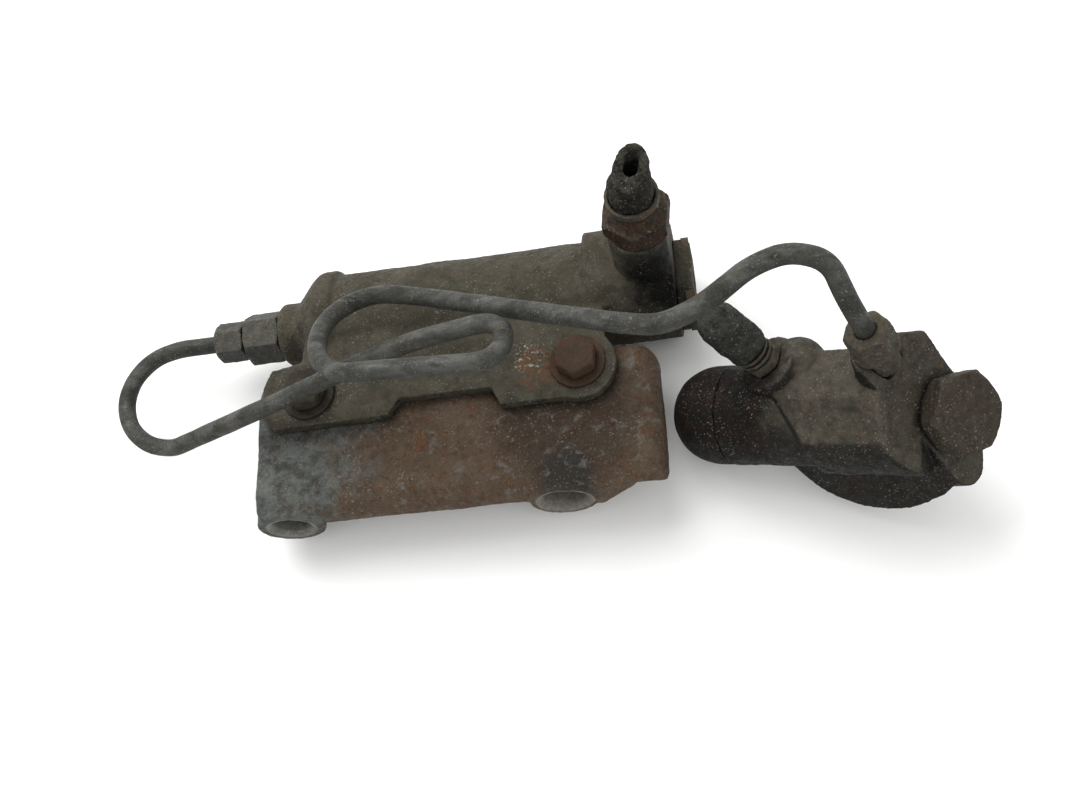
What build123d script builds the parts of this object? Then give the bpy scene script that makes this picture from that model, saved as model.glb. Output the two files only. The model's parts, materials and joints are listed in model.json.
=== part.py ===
"""Hydraulic actuation set: a feed cylinder on its cast bracket, a formed steel pipe and a slave cylinder.

Units are millimetres and +Z is up. The row's origin is on the axis of the bracket's right mounting
hole, midway along its boss. Two local frames are used:
- feed frame: origin on the right flange bolt at the top face of the cylinder's side flange, axes as the row's;
- slave frame: origin at the centre of the barrel's domed end, X along the barrel, Z along the ports.
"""
from build123d import *
from math import cos, pi, radians, sin, sqrt, tan
import os

# ---------------------------------------------------------------- driving dimensions
FEED_ORIGIN = (9.4, 28.5, 19.0)  # the feed frame's origin in the row's frame
FLOOR_Z = -36.7  # the surface the set stands on, in the feed frame

# mounting bracket
HOLE_SPACING = 97.0  # between the two mounting holes, along X
RIGHT_HOLE_X = -9.4
FRONT_Y = -42.0  # machined faces of the bosses
BOSS_Z = -19.0
BOSS_R = 12.0
LEFT_HOLE_R = 6.4
RIGHT_HOLE_R = 7.5
BOSS_LENGTH = 27.0
FACE_Z = -5.0  # the bracket's top face, on which the cylinder's flange lies
LIP_Z = -17.0
PLATE_LEFT, PLATE_RIGHT, PLATE_BACK = -115.0, 26.5, 10.0
PLATE_WALL = 6.0
FOOT_WIDTH = 9.0

# feed cylinder
BARREL_Y, BARREL_Z = 32.8, -15.5
BARREL_R = 19.5
BARREL_LEFT, BARREL_RIGHT = -86.0, 4.0
COLLAR_R, COLLAR_LEFT = 21.2, -95.0
NECK_R, NECK_START, NECK_END = 11.5, -102.5, -110.5
BLOCK_HALF, BLOCK_FRONT, BLOCK_RIGHT = 20.5, 15.0, 35.0
BLOCK_ROUND = 14.0
FLANGE_LEFT = -112.0
BOLT_SPACING = 95.0
BOLT_HOLE_R = 4.4
FEED_BORE_R = 9.525  # 19.05 mm bore
FEED_BORE_LEFT = -80.0
OUTLET_BORE_R = 3.0
THREAD_R = 5.0  # M10 x 1 sockets
INLET_X, INLET_Y = 26.0, 35.5
INLET_BOSS_R, INLET_BOSS_TOP = 11.0, 24.0
INLET_THREAD_R = 7.0
INLET_THREAD = 12.0
BLOCK_TOP = BARREL_Z + BLOCK_HALF

# end plate
PLATE_THICK = 6.0
PLATE_HALF = 13.0
PLATE_OPENING_R = 6.5
SCREW_PLACE = 10.0
SCREW_R = 1.5
SCREW_HEAD_R = 2.8

# fasteners and fittings
M8_HEAD_AF, M8_HEAD, M8_R, M8_SHANK = 13.0, 5.5, 4.0, 14.0
WASHER_R, WASHER_THICK = 9.5, 1.4
ADAPTER_AF, ADAPTER_LEFT, ADAPTER_RIGHT = 17.0, -124.5, -110.5
NUT_AF, NUT_LENGTH = 13.0, 11.0
INLET_AF = 21.0

# pressure pipe
PIPE_R = 3.175
PIPE_BORE_R = 2.0
LARGEST_BEND = 0.45  # of the shorter of the two runs at a bend

# slave cylinder
SLAVE_ORIGIN = (45.9, -17.2, -18.3)  # in the feed frame
SLAVE_TURN, SLAVE_RISE, SLAVE_ROLL = -16.7, 22.4, -5.0  # degrees, of its barrel in the feed frame
SLAVE_R = 16.6
SLAVE_BODY_R = 19.0
SLAVE_BORE_R = 12.7  # 25.4 mm bore
SLAVE_BORE_END = 50.0
BOOT_WALL = 2.2
BOOT_LIP, LIP_WALL = 5.0, 2.0  # length and thickness of the boot's lip
PLUG_AF, PLUG_HEAD = 24.0, 7.5
PLUG_R, PLUG_THREAD = 8.0, 11.0
RING_R, RING_THICK = 11.4, 1.5
FACE_R = 12.6  # round middle of the inclined face
ARM_HALF = 9.5
ARM_SHOULDER = 25.0
ARM_TIP = 32.0
EAR_R = 6.0
EAR_OUT, EAR_DROP = 17.0, 6.0
GUSSET_ARC = ((20, 8), (49, 34), (79, 18))  # along the barrel, and out from its axis
RIGHT_EAR_R = 13.0  # round end of the side flange, about the right bolt
FACE_CENTRE = (75.7, 2.4, -3.8)  # centre of the inclined flange face
FACE_TURN, FACE_RISE, FACE_ROLL = -18.0, 27.0, -14.0  # degrees, of its normal in the slave frame
FLANGE_DEPTH = 15.0
PORT_X, PORT_Y, PORT_TOP = 62.5, 6.5, 27.0
BLEED_BASE = (24.0, 6.5, 21.5)
BLEED_LEAN = 15.0  # degrees, towards the domed end

# moving pieces
PISTON_GAP = 0.05  # radial running clearance
CLEAR = 0.35
THREAD_GAP = 0.08  # between a screw's cylinder and its hole's

to_row = Location(FEED_ORIGIN)


def leaning(turn, rise, roll):
    """A direction turned about Z and then raised, and the upright square to it after a roll about it."""
    level = cos(radians(rise))
    ahead = Vector(level * cos(radians(turn)), level * sin(radians(turn)), sin(radians(rise)))
    upright = (Vector(0, 0, 1) - ahead * ahead.Z).normalized()
    return ahead, upright.rotate(Axis((0, 0, 0), ahead), roll)


slave_x, slave_z = leaning(SLAVE_TURN, SLAVE_RISE, SLAVE_ROLL)
slave_plane = Plane(origin=SLAVE_ORIGIN, x_dir=slave_x, z_dir=slave_z)
FACE_N, face_up = leaning(FACE_TURN, FACE_RISE, FACE_ROLL)  # along the plug, and towards the upper arm
FACE_V = face_up * -1  # towards the lower ear
pieces = {}


# ---------------------------------------------------------------- shape helpers
def rod(radius, start, end):
    """A solid cylinder between two points."""
    a, b = Vector(start), Vector(end)
    return Plane(origin=a, z_dir=b - a) * extrude(Circle(radius), (b - a).length)


def tube(outer, inner, start, end):
    """A cylinder with a hole through it."""
    a, b = Vector(start), Vector(end)
    return Plane(origin=a, z_dir=b - a) * extrude(Circle(outer) - Circle(inner), (b - a).length)


def cone(radius, end_radius, start, end):
    """A cone frustum between two points."""
    a, b = Vector(start), Vector(end)
    base = Plane(origin=a, z_dir=b - a) * Circle(radius)
    top = Plane(origin=b, z_dir=b - a) * Circle(end_radius)
    return loft([base, top])


def block(low, high):
    """An axis-aligned box between two corners."""
    size = [h - l for l, h in zip(low, high)]
    centre = [(h + l) / 2 for l, h in zip(low, high)]
    return Pos(*centre) * Box(*size)


def hex_prism(across_flats, start, end, x_dir=None):
    """A hexagon bar whose ends are chamfered as a bolt head's are."""
    a, b = Vector(start), Vector(end)
    corner_r = across_flats / sqrt(3)
    plane = Plane(origin=a, x_dir=x_dir, z_dir=b - a) if x_dir else Plane(origin=a, z_dir=b - a)
    length = (b - a).length
    bar = extrude(RegularPolygon(corner_r, 6), length)
    drop = (corner_r - across_flats / 2) * tan(radians(30)) * 1.6
    trim = revolve(
        Plane.XZ
        * make_face(
            Polyline(
                (0, 0),
                (across_flats / 2 - 0.2, 0),
                (corner_r + 0.1, drop),
                (corner_r + 0.1, length - drop),
                (across_flats / 2 - 0.2, length),
                (0, length),
                close=True,
            )
        ),
        Axis.Z,
    )
    return plane * (bar & trim)


def along(point, direction, distance):
    """The point at a distance from another along a direction."""
    return Vector(point) + Vector(direction).normalized() * distance


def one_solid(shape):
    """The largest solid of a shape, so that no loose chip is written."""
    return max(shape.solids(), key=lambda s: s.volume)


# ---------------------------------------------------------------- mounting bracket
def bracket():
    """A shallow cast tray turned over, with a rolled rim, two bosses in front and two feet."""
    tray = block((PLATE_LEFT, FRONT_Y, LIP_Z), (PLATE_RIGHT, PLATE_BACK, FACE_Z))
    uprights = tray.edges().filter_by(Axis.Z)
    right_front = uprights.sort_by(Axis.X)[-2:].sort_by(Axis.Y)[0]
    tray = fillet(right_front, 6.0)
    uprights = tray.edges().filter_by(Axis.Z)
    right_back = uprights.sort_by(Axis.Y)[-2:].sort_by(Axis.X)[-1]
    tray = fillet(right_back, 9.0)
    front_top = tray.faces().sort_by(Axis.Z)[-1].edges().sort_by(Axis.Y)[0]
    tray = fillet(front_top, 9.0)
    pocket = block(
        (PLATE_LEFT + PLATE_WALL, FRONT_Y + PLATE_WALL + 2, LIP_Z - 1),
        (PLATE_RIGHT - PLATE_WALL, PLATE_BACK - PLATE_WALL, FACE_Z - PLATE_WALL),
    )
    tray -= fillet(pocket.edges().filter_by(Axis.Z), 4.0)
    # the right side behind the boss only has a thin edge
    tray -= block((6.0, FRONT_Y - 1, LIP_Z - 1), (PLATE_RIGHT + 1, FRONT_Y + 3.0, FACE_Z - PLATE_WALL))
    for x in (RIGHT_HOLE_X - HOLE_SPACING, RIGHT_HOLE_X):
        tray += rod(BOSS_R, (x, FRONT_Y, BOSS_Z), (x, FRONT_Y + BOSS_LENGTH, BOSS_Z))
        tray += block(
            (x - FOOT_WIDTH / 2, FRONT_Y + 5, FLOOR_Z),
            (x + FOOT_WIDTH / 2, FRONT_Y + BOSS_LENGTH, BOSS_Z),
        )
        tray += block((x - 9, FRONT_Y + 2, BOSS_Z), (x + 9, FRONT_Y + BOSS_LENGTH, FACE_Z - 3))
    shoulder = Plane.XZ.offset(-FRONT_Y - 14) * make_face(
        Polyline((0, FACE_Z - 3), (15, FACE_Z - 3), (15, FACE_Z - 7), (2, BOSS_Z - 8), (0, BOSS_Z), close=True)
    )
    tray += extrude(shoulder, 14.0)
    for x, r in ((RIGHT_HOLE_X - HOLE_SPACING, LEFT_HOLE_R), (RIGHT_HOLE_X, RIGHT_HOLE_R)):
        tray -= rod(r, (x, FRONT_Y - 1, BOSS_Z), (x, FRONT_Y + BOSS_LENGTH + 1, BOSS_Z))
        tray -= cone(r + 1.6, r, (x, FRONT_Y - 0.01, BOSS_Z), (x, FRONT_Y + 1.6, BOSS_Z))
    for x in (-BOLT_SPACING, 0.0):
        tray += rod(8.5, (x, 0, FACE_Z - 12), (x, 0, FACE_Z - 1))
    for x in (-BOLT_SPACING, 0.0):
        tray -= rod(M8_R + THREAD_GAP, (x, 0, FACE_Z - 13), (x, 0, FACE_Z + 1))
    return one_solid(tray)


# ---------------------------------------------------------------- feed cylinder
def flange_outline():
    """The side flange seen from above: two ears and a recessed front edge between them."""
    left = FLANGE_LEFT
    ear = 12.2
    step = (-66.5, -62.5, -30.0, -27.0)
    recess = -5.4
    return make_face(
        Polyline(
            (left + 3, BARREL_Y - 22),
            (left, 4),
            (left, -7),
            (left + 5, -ear),
            (step[0], -11.2),
            (step[1], recess),
            (step[2], recess),
            (step[3], -ear),
            (0, -ear),
            (9.5, 0),
            (9.5, BARREL_Y),
            (-96, BARREL_Y),
            (-98, BARREL_Y - 20),
            close=True,
        )
    ) + Circle(RIGHT_EAR_R)


def feed_casting():
    """The cylinder: neck, collar, barrel and square block in one casting with the side flange."""
    y, z = BARREL_Y, BARREL_Z
    profile = Polyline(
        (NECK_END, 0),
        (NECK_END, NECK_R - 1.5),
        (NECK_END + 1.5, NECK_R),
        (NECK_START, NECK_R),
        (COLLAR_LEFT, COLLAR_R - 1.5),
        (COLLAR_LEFT + 2, COLLAR_R),
        (BARREL_LEFT - 1.5, COLLAR_R),
        (BARREL_LEFT, BARREL_R),
        (BARREL_RIGHT + 1, BARREL_R),
        (BARREL_RIGHT + 1, 0),
        close=True,
    )
    turned = revolve(Plane.XY * make_face(profile), Axis.X)
    body = Pos(0, y, z) * turned
    square = block((BARREL_RIGHT, y - BLOCK_FRONT, FLOOR_Z), (BLOCK_RIGHT, y + BLOCK_HALF, BLOCK_TOP))
    body += fillet(square.edges().filter_by(Axis.X), BLOCK_ROUND)
    web = extrude(Plane.XY.offset(FACE_Z) * flange_outline(), -FACE_Z)
    body += web
    body += block((-94, BARREL_Y - 21, -22), (3, BARREL_Y - 8, -2))
    body += rod(INLET_BOSS_R, (INLET_X, INLET_Y, z), (INLET_X, INLET_Y, INLET_BOSS_TOP))
    body -= block((BLOCK_RIGHT, 0, FLOOR_Z), (BLOCK_RIGHT + 10, 80, INLET_BOSS_TOP + 1))
    body -= block((PLATE_LEFT, -20, FACE_Z - 8), (PLATE_RIGHT + 1, PLATE_BACK + CLEAR, FACE_Z))
    body -= rod(FEED_BORE_R, (FEED_BORE_LEFT, y, z), (BLOCK_RIGHT + 1, y, z))
    body -= rod(OUTLET_BORE_R, (NECK_END - 1, y, z), (FEED_BORE_LEFT + 1, y, z))
    body -= rod(THREAD_R, (NECK_END - 1, y, z), (NECK_END + 10, y, z))
    socket = INLET_BOSS_TOP - INLET_THREAD
    body -= rod(INLET_THREAD_R, (INLET_X, INLET_Y, socket), (INLET_X, INLET_Y, INLET_BOSS_TOP + 1))
    body -= rod(2.0, (INLET_X, INLET_Y, z), (INLET_X, INLET_Y, socket + 1))
    for x in (-BOLT_SPACING, 0.0):
        body -= rod(BOLT_HOLE_R, (x, 0, FACE_Z - 1), (x, 0, 2))
    for dy, dz in screw_places():
        body -= rod(SCREW_R + THREAD_GAP, (BLOCK_RIGHT - 8, y + dy, z + dz), (BLOCK_RIGHT + 1, y + dy, z + dz))
    return one_solid(body)


def screw_places():
    """The end plate's four screws, on a square round the bore."""
    return [(a * SCREW_PLACE, b * SCREW_PLACE) for a in (-1, 1) for b in (-1, 1)]


def end_plate():
    """A thick plate with rounded corners, an opening for the push rod and countersunk screw holes."""
    y, z = BARREL_Y, BARREL_Z
    outer = BLOCK_RIGHT + PLATE_THICK
    plate = block((BLOCK_RIGHT, y - PLATE_HALF, z - PLATE_HALF), (outer, y + PLATE_HALF, z + PLATE_HALF))
    plate = fillet(plate.edges().filter_by(Axis.X), 5.0)
    plate = chamfer(plate.faces().sort_by(Axis.X)[-1].edges(), 0.8)
    plate -= rod(PLATE_OPENING_R, (BLOCK_RIGHT - 1, y, z), (outer + 1, y, z))
    for dy, dz in screw_places():
        plate -= rod(SCREW_R + THREAD_GAP, (BLOCK_RIGHT - 1, y + dy, z + dz), (outer + 1, y + dy, z + dz))
        plate -= rod(SCREW_HEAD_R + THREAD_GAP, (outer - 3, y + dy, z + dz), (outer + 1, y + dy, z + dz))
    return plate


def end_plate_screws():
    """Four cap screws sunk into the end plate."""
    outer = BLOCK_RIGHT + PLATE_THICK
    screws = []
    for dy, dz in screw_places():
        y, z = BARREL_Y + dy, BARREL_Z + dz
        head = rod(SCREW_HEAD_R, (outer - 3, y, z), (outer - 0.4, y, z))
        head -= hex_prism(2.5, (outer - 1.8, y, z), (outer + 1, y, z))
        screws.append(one_solid(head + rod(SCREW_R, (outer - 13, y, z), (outer - 2.9, y, z))))
    return Compound(children=screws)


def flange_bolts():
    """Two M8 hex bolts through the side flange into the bracket."""
    bolts = []
    for x, turn in ((-BOLT_SPACING, 8.0), (0.0, 24.0)):
        spin = (cos(radians(turn)), sin(radians(turn)), 0)
        head = hex_prism(M8_HEAD_AF, (x, 0, WASHER_THICK), (x, 0, WASHER_THICK + M8_HEAD), spin)
        bolts.append(one_solid(head + rod(M8_R, (x, 0, FACE_Z - M8_SHANK + 5), (x, 0, WASHER_THICK + 1))))
    return Compound(children=bolts)


def flange_washers():
    """Plain washers under the flange bolts."""
    return Compound(
        children=[
            one_solid(tube(WASHER_R, BOLT_HOLE_R, (x, 0, 0), (x, 0, WASHER_THICK)))
            for x in (-BOLT_SPACING, 0.0)
        ]
    )


def outlet_adapter():
    """Hex adapter screwed into the neck, with a socket for the tube nut."""
    y, z = BARREL_Y, BARREL_Z
    piece = hex_prism(ADAPTER_AF, (ADAPTER_LEFT, y, z), (ADAPTER_RIGHT, y, z), (0, 0.3, 1))
    piece += rod(THREAD_R, (ADAPTER_RIGHT - 1, y, z), (ADAPTER_RIGHT + 8, y, z))
    piece -= rod(1.6, (ADAPTER_LEFT - 1, y, z), (ADAPTER_RIGHT + 10, y, z))
    piece -= rod(THREAD_R, (ADAPTER_LEFT - 1, y, z), (ADAPTER_LEFT + 8, y, z))
    return one_solid(piece)


def outlet_tube_nut():
    """Tube nut that holds the pipe in the adapter."""
    y, z = BARREL_Y, BARREL_Z
    piece = hex_prism(NUT_AF, (ADAPTER_LEFT - 1 - NUT_LENGTH, y, z), (ADAPTER_LEFT - 1, y, z), (0, 0.1, 1))
    piece += rod(THREAD_R, (ADAPTER_LEFT - 1.5, y, z), (ADAPTER_LEFT + 6, y, z))
    piece -= rod(PIPE_R, (ADAPTER_LEFT - 20, y, z), (ADAPTER_LEFT + 10, y, z))
    return one_solid(piece)


# ---------------------------------------------------------------- inlet and torn hose
HEX_BOTTOM = INLET_BOSS_TOP + 1.4
HEX_TOP = HEX_BOTTOM + 8.0
LIP_TOP = 42.0
HOSE_TIP = 62.5
HOSE_LEAN = 3.0  # how far the tip stands to the right of the root
BARB_R = 3.6


def inlet_adapter():
    """Hex inlet fitting with a cone above and a barb inside the hose."""
    x, y = INLET_X, INLET_Y
    piece = hex_prism(INLET_AF, (x, y, HEX_BOTTOM), (x, y, HEX_TOP), (0.9, 0.35, 0))
    piece += cone(9.6, 7.2, (x, y, HEX_TOP - 0.2), (x, y, HEX_TOP + 2.6))
    piece += rod(6.4, (x, y, HEX_TOP + 2.5), (x, y, LIP_TOP - 4))
    piece += rod(BARB_R, (x, y, LIP_TOP - 5), (x, y, LIP_TOP + 5))
    piece += rod(INLET_THREAD_R, (x, y, INLET_BOSS_TOP - INLET_THREAD + 2), (x, y, HEX_BOTTOM + 0.5))
    piece -= rod(2.4, (x, y, INLET_BOSS_TOP - INLET_THREAD), (x, y, HOSE_TIP))
    return one_solid(piece)


def inlet_seal_washer():
    """Sealing washer between the boss and the inlet fitting."""
    return tube(10.4, INLET_THREAD_R, (INLET_X, INLET_Y, INLET_BOSS_TOP), (INLET_X, INLET_Y, HEX_BOTTOM))


def hose_ferrule():
    """Crimped cup with a lip round the root of the hose."""
    x, y = INLET_X, INLET_Y
    ring = tube(8.0, BARB_R, (x, y, LIP_TOP - 4), (x, y, LIP_TOP - 2.6))
    ring += tube(8.8, 7.5, (x, y, LIP_TOP - 2.6), (x, y, LIP_TOP))
    return one_solid(ring)


def feed_hose_stub():
    """Torn stub of the feed hose: a leaning tube that ends in a slanting tear."""
    x, y = INLET_X, INLET_Y
    root = (x, y, LIP_TOP - 2.6)
    shoulder = (x, y, LIP_TOP + 3)
    tip = (x + HOSE_LEAN, y, HOSE_TIP + 1)
    stub = rod(7.5, root, shoulder) + cone(7.5, 4.6, shoulder, tip)
    stub -= rod(BARB_R, (x, y, LIP_TOP - 3), (x, y, LIP_TOP + 5))
    stub -= rod(2.6, (x, y, LIP_TOP + 2), tip) + rod(2.6, tip, (x + HOSE_LEAN, y, HOSE_TIP + 3))
    tear = Plane(origin=(x + HOSE_LEAN, y + 4.0, HOSE_TIP), x_dir=(1, 0, 0), z_dir=(-0.35, -0.75, 0.9))
    stub -= tear * Pos(0, 0, 10) * Box(40, 40, 20)
    return one_solid(stub - block((x - 20, y - 20, HOSE_TIP), (x + 20, y + 20, HOSE_TIP + 5)))


# ---------------------------------------------------------------- inside the feed cylinder
PISTON_RIGHT = BLOCK_RIGHT - 5.0
PISTON_LENGTH = 30.0


def feed_piston():
    """Spool piston with a groove for the rear seal and a socket for the push rod."""
    y, z = BARREL_Y, BARREL_Z
    left, right = PISTON_RIGHT - PISTON_LENGTH, PISTON_RIGHT
    r = FEED_BORE_R - PISTON_GAP
    piston = rod(r, (left, y, z), (right, y, z))
    piston -= tube(r + 1, 5.5, (left + 6, y, z), (left + 19, y, z))
    piston -= tube(r + 1, 7.2, (right - 7, y, z), (right - 3.5, y, z))
    piston -= rod(4.5, (right - 8, y, z), (right + 1, y, z))
    return one_solid(piston)


def feed_primary_cup():
    """Cup seal in front of the piston."""
    y, z = BARREL_Y, BARREL_Z
    right = PISTON_RIGHT - PISTON_LENGTH
    cup = rod(FEED_BORE_R - PISTON_GAP, (right - 6, y, z), (right, y, z))
    cup -= cone(8.0, 6.0, (right - 7, y, z), (right - 2.5, y, z))
    return one_solid(cup)


def feed_secondary_seal():
    """Ring seal in the piston's rear groove."""
    right = PISTON_RIGHT
    y, z = BARREL_Y, BARREL_Z
    return tube(FEED_BORE_R - PISTON_GAP, 7.2, (right - 6.8, y, z), (right - 3.7, y, z))


def feed_spring_seat():
    """Cap between the cup seal and the return spring."""
    y, z = BARREL_Y, BARREL_Z
    right = PISTON_RIGHT - PISTON_LENGTH - 2.5
    seat = rod(5.6, (right - 1.5, y, z), (right, y, z))
    return one_solid(seat + rod(3.4, (right - 6, y, z), (right - 1, y, z)))


def coil_spring(radius, wire, length, turns):
    """A round-wire compression spring along +Z from the origin."""
    path = Helix(pitch=(length - 2 * wire) / turns, height=length - 2 * wire, radius=radius)
    section = Plane(origin=path @ 0, z_dir=path % 0) * Circle(wire)
    return Pos(0, 0, wire) * sweep(section, path, is_frenet=True)


def feed_return_spring():
    """Return spring between the bore's blind end and the spring seat."""
    y, z = BARREL_Y, BARREL_Z
    left = FEED_BORE_LEFT + 0.3
    right = PISTON_RIGHT - PISTON_LENGTH - 4.3
    spring = coil_spring(6.0, 0.9, right - left, 14)
    return Plane(origin=(left, y, z), z_dir=(1, 0, 0)) * spring


def feed_stop_washer():
    """Washer behind the piston that the circlip holds."""
    y, z = BARREL_Y, BARREL_Z
    return tube(FEED_BORE_R - PISTON_GAP, 5.6, (PISTON_RIGHT + 0.3, y, z), (PISTON_RIGHT + 2.0, y, z))


def feed_circlip():
    """Split ring behind the stop washer."""
    y, z = BARREL_Y, BARREL_Z
    ring = tube(FEED_BORE_R - PISTON_GAP, 7.6, (PISTON_RIGHT + 2.3, y, z), (PISTON_RIGHT + 3.6, y, z))
    return one_solid(ring - block((0, y - 2, z - 12), (BLOCK_RIGHT, y + 2, z - 5)))


# ---------------------------------------------------------------- pressure pipe
BEND_STEP = 30  # degrees between the corners of a bend
HAIRPIN_R = 20.0  # the loop at the left that turns the pipe back to the right
HAIRPIN_X = -153.0
SMALL_TURN_R = 10.0  # right end of the coil
SMALL_TURN = (-26.0, -10.5)
LARGE_TURN_R = 22.5  # left end of the coil
LARGE_TURN = (-58.0, 3.5)
VALLEY_R = 21.5  # the dip between the two cylinders
VALLEY = (34.0, 0.5)
ARCH_R = 18.0  # the rise over the slave cylinder
ARCH = (70.0, -22.0)
RUN_KNEE = (-102.0, -9.0, 14.0)  # lifts the run over the left flange bolt
RUN_CREST = (-52.0, -1.5, 31.0)  # where the run levels off into the coil
REAR_DEPTH = -17.0  # how far to the front the pipe lies where each bend begins or ends
COIL_DEPTHS = (36.0, 49.0, 14.0)
FRONT_DEPTHS = (56.0, 62.0)


def bend(centre, radius, start, end, depth_start, depth_end):
    """Corners of one bend, between two angles in the front view, while its depth changes evenly."""
    steps = round(abs(end - start) / BEND_STEP)
    corners = []
    for i in range(steps + 1):
        angle = radians(start + (end - start) * i / steps)
        depth = depth_start + (depth_end - depth_start) * i / steps
        corners.append(Vector(centre[0] + radius * cos(angle), centre[1] + radius * sin(angle), depth))
    return corners


def slave_point(x, y, z):
    """A point of the slave frame in the feed frame."""
    return slave_plane.from_local_coords(Vector(x, y, z))


def pipe_route():
    """Straight out of the outlet nut, round five bends, and straight down into the slave cylinder's nut."""
    first, second, third = COIL_DEPTHS
    low, high = FRONT_DEPTHS
    return [
        Vector(-130, BARREL_Y, BARREL_Z),
        *bend((HAIRPIN_X, BARREL_Y - HAIRPIN_R), HAIRPIN_R, 90, 270, BARREL_Z, REAR_DEPTH),
        Vector(*RUN_KNEE),
        Vector(*RUN_CREST),
        *bend(SMALL_TURN, SMALL_TURN_R, 90, -90, first, second),
        *bend(LARGE_TURN, LARGE_TURN_R, -90, -285, second, third),
        *bend(VALLEY, VALLEY_R, 235, 300, low, high),
        *bend(ARCH, ARCH_R, 125, 50, high, high),
        slave_point(PORT_X, PORT_Y, PORT_TOP + 22),
        slave_point(PORT_X, PORT_Y, PORT_TOP + 4.5),
    ]


def bend_radii(points):
    """The largest tangent arc that the two runs at each corner leave room for."""
    radii = []
    for before, at, after in zip(points, points[1:], points[2:]):
        turn = radians((at - before).get_angle(after - at))
        shorter = min((at - before).length, (after - at).length)
        radii.append(LARGEST_BEND * shorter / tan(turn / 2))
    return radii


def pressure_pipe():
    """The formed steel pipe: straight runs joined by tangent arcs."""
    points = pipe_route()
    radii = bend_radii(points)
    path = FilletPolyline(*points, radius=radii)
    print("pipe radii", [round(r, 1) for r in radii], "length", round(path.length, 1))
    section = Plane(origin=path @ 0, z_dir=path % 0) * (Circle(PIPE_R) - Circle(PIPE_BORE_R))
    pipe = sweep(section, path)
    expected = pi * (PIPE_R**2 - PIPE_BORE_R**2) * path.length
    print("pipe volume over section times length", round(pipe.volume / expected, 4))
    return pipe


# ---------------------------------------------------------------- slave cylinder, in its own frame
face_plane = Plane(origin=FACE_CENTRE, x_dir=FACE_V, z_dir=FACE_N)
bleed_axis = Vector(-sin(radians(BLEED_LEAN)), 0, cos(radians(BLEED_LEAN)))


def flange_profile():
    """The inclined face: a pointed upper arm, a round middle and a rounded lower ear."""
    arm = Polyline(
        (0, -ARM_HALF),
        (-ARM_SHOULDER, -ARM_HALF),
        (-ARM_TIP, 0),
        (-ARM_SHOULDER, ARM_HALF),
        (0, ARM_HALF),
        close=True,
    )
    middle = Circle(FACE_R)
    ear = Pos(EAR_OUT, -EAR_DROP) * Circle(EAR_R)
    return make_face(arm) + make_hull(middle.edges() + ear.edges())


def slave_casting():
    """Barrel, saddle with the two ports, inclined flange block and the gusset below it."""
    body = rod(SLAVE_R, (0, 0, 0), (58, 0, 0))
    middle = rod(SLAVE_BODY_R, (24, 0, 0), (70, 0, 0))
    # a flat on the front of the middle, towards the lower front
    flat = Plane(origin=(24, 0, 0), x_dir=(1, 0, 0), z_dir=(0, -0.6, 0.8))
    middle -= Plane(origin=flat.origin + flat.z_dir * 17.6, x_dir=(1, 0, 0), z_dir=flat.z_dir) * Pos(
        20, 0, 5
    ) * Box(70, 60, 10)
    # its left end is cut slanting
    slant = Plane(origin=(24, 0, 0), x_dir=(0, 1, 0), z_dir=(-0.8, -0.6, 0.0))
    middle -= slant * Pos(0, 0, 10) * Box(80, 80, 20)
    body += middle
    saddle = Plane.YZ.offset(20.0) * make_face(
        Polyline((-3, 0), (-3, 18.6), (1, 19.6), (13, 18.2), (17, 8), (17, 0), close=True)
    )
    body += extrude(saddle, 48.0)
    body += rod(10.0, along(BLEED_BASE, bleed_axis, -14), Vector(*BLEED_BASE))
    body += Pos(31.5, 9.5, 14.5) * Sphere(9.2)
    body += cone(10.5, 8.6, (PORT_X, PORT_Y, 4), (PORT_X, PORT_Y, PORT_TOP))
    arm = extrude(face_plane * flange_profile(), -FLANGE_DEPTH)
    body += arm
    # gusset between the barrel and the lower ear
    down = Vector(0, -0.39, -0.92).normalized()
    web = Plane(origin=(0, 0, 0), x_dir=(1, 0, 0), z_dir=Vector(1, 0, 0).cross(down))
    side = 1.0 if web.y_dir.dot(down) > 0 else -1.0
    left, lowest, right = [(x, depth * side) for x, depth in GUSSET_ARC]
    gusset = make_face(ThreePointArc(left, lowest, right) + Line(right, left))
    body += extrude(web * gusset, 6.0, both=True) & block((0, -60, -60), (78.5, 40, 60))
    # keep everything behind the flange face
    body -= face_plane * Pos(0, 0, 15) * Box(160, 160, 30)
    # bores
    body -= rod(SLAVE_BORE_R, (-20, 0, 0), (SLAVE_BORE_END, 0, 0))
    body -= rod(2.5, (SLAVE_BORE_END - 1, 0, 0), (SLAVE_BORE_END + 12, 0, 0))
    body -= rod(PLUG_R, along(FACE_CENTRE, FACE_N, 1), along(FACE_CENTRE, FACE_N, -PLUG_THREAD - 1))
    body -= rod(THREAD_R, (PORT_X, PORT_Y, PORT_TOP + 1), (PORT_X, PORT_Y, PORT_TOP - 10))
    body -= rod(1.6, (PORT_X, PORT_Y, PORT_TOP), (PORT_X, PORT_Y, 2.0))
    hole_r = THREAD_R - 1 + PISTON_GAP
    body -= rod(hole_r, along(BLEED_BASE, bleed_axis, -8), along(BLEED_BASE, bleed_axis, 1))
    body -= rod(1.2, along(BLEED_BASE, bleed_axis, -14), Vector(*BLEED_BASE))
    body -= rod(7.4, Vector(*BLEED_BASE), along(BLEED_BASE, bleed_axis, 9))
    body -= boot_lip_groove()
    return one_solid(body)


def boot_lip_groove():
    """Groove round the barrel's open end, in which the boot's lip sits."""
    return tube(SLAVE_R + 1, SLAVE_R - LIP_WALL, (-1, 0, 0), (BOOT_LIP, 0, 0))


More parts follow.
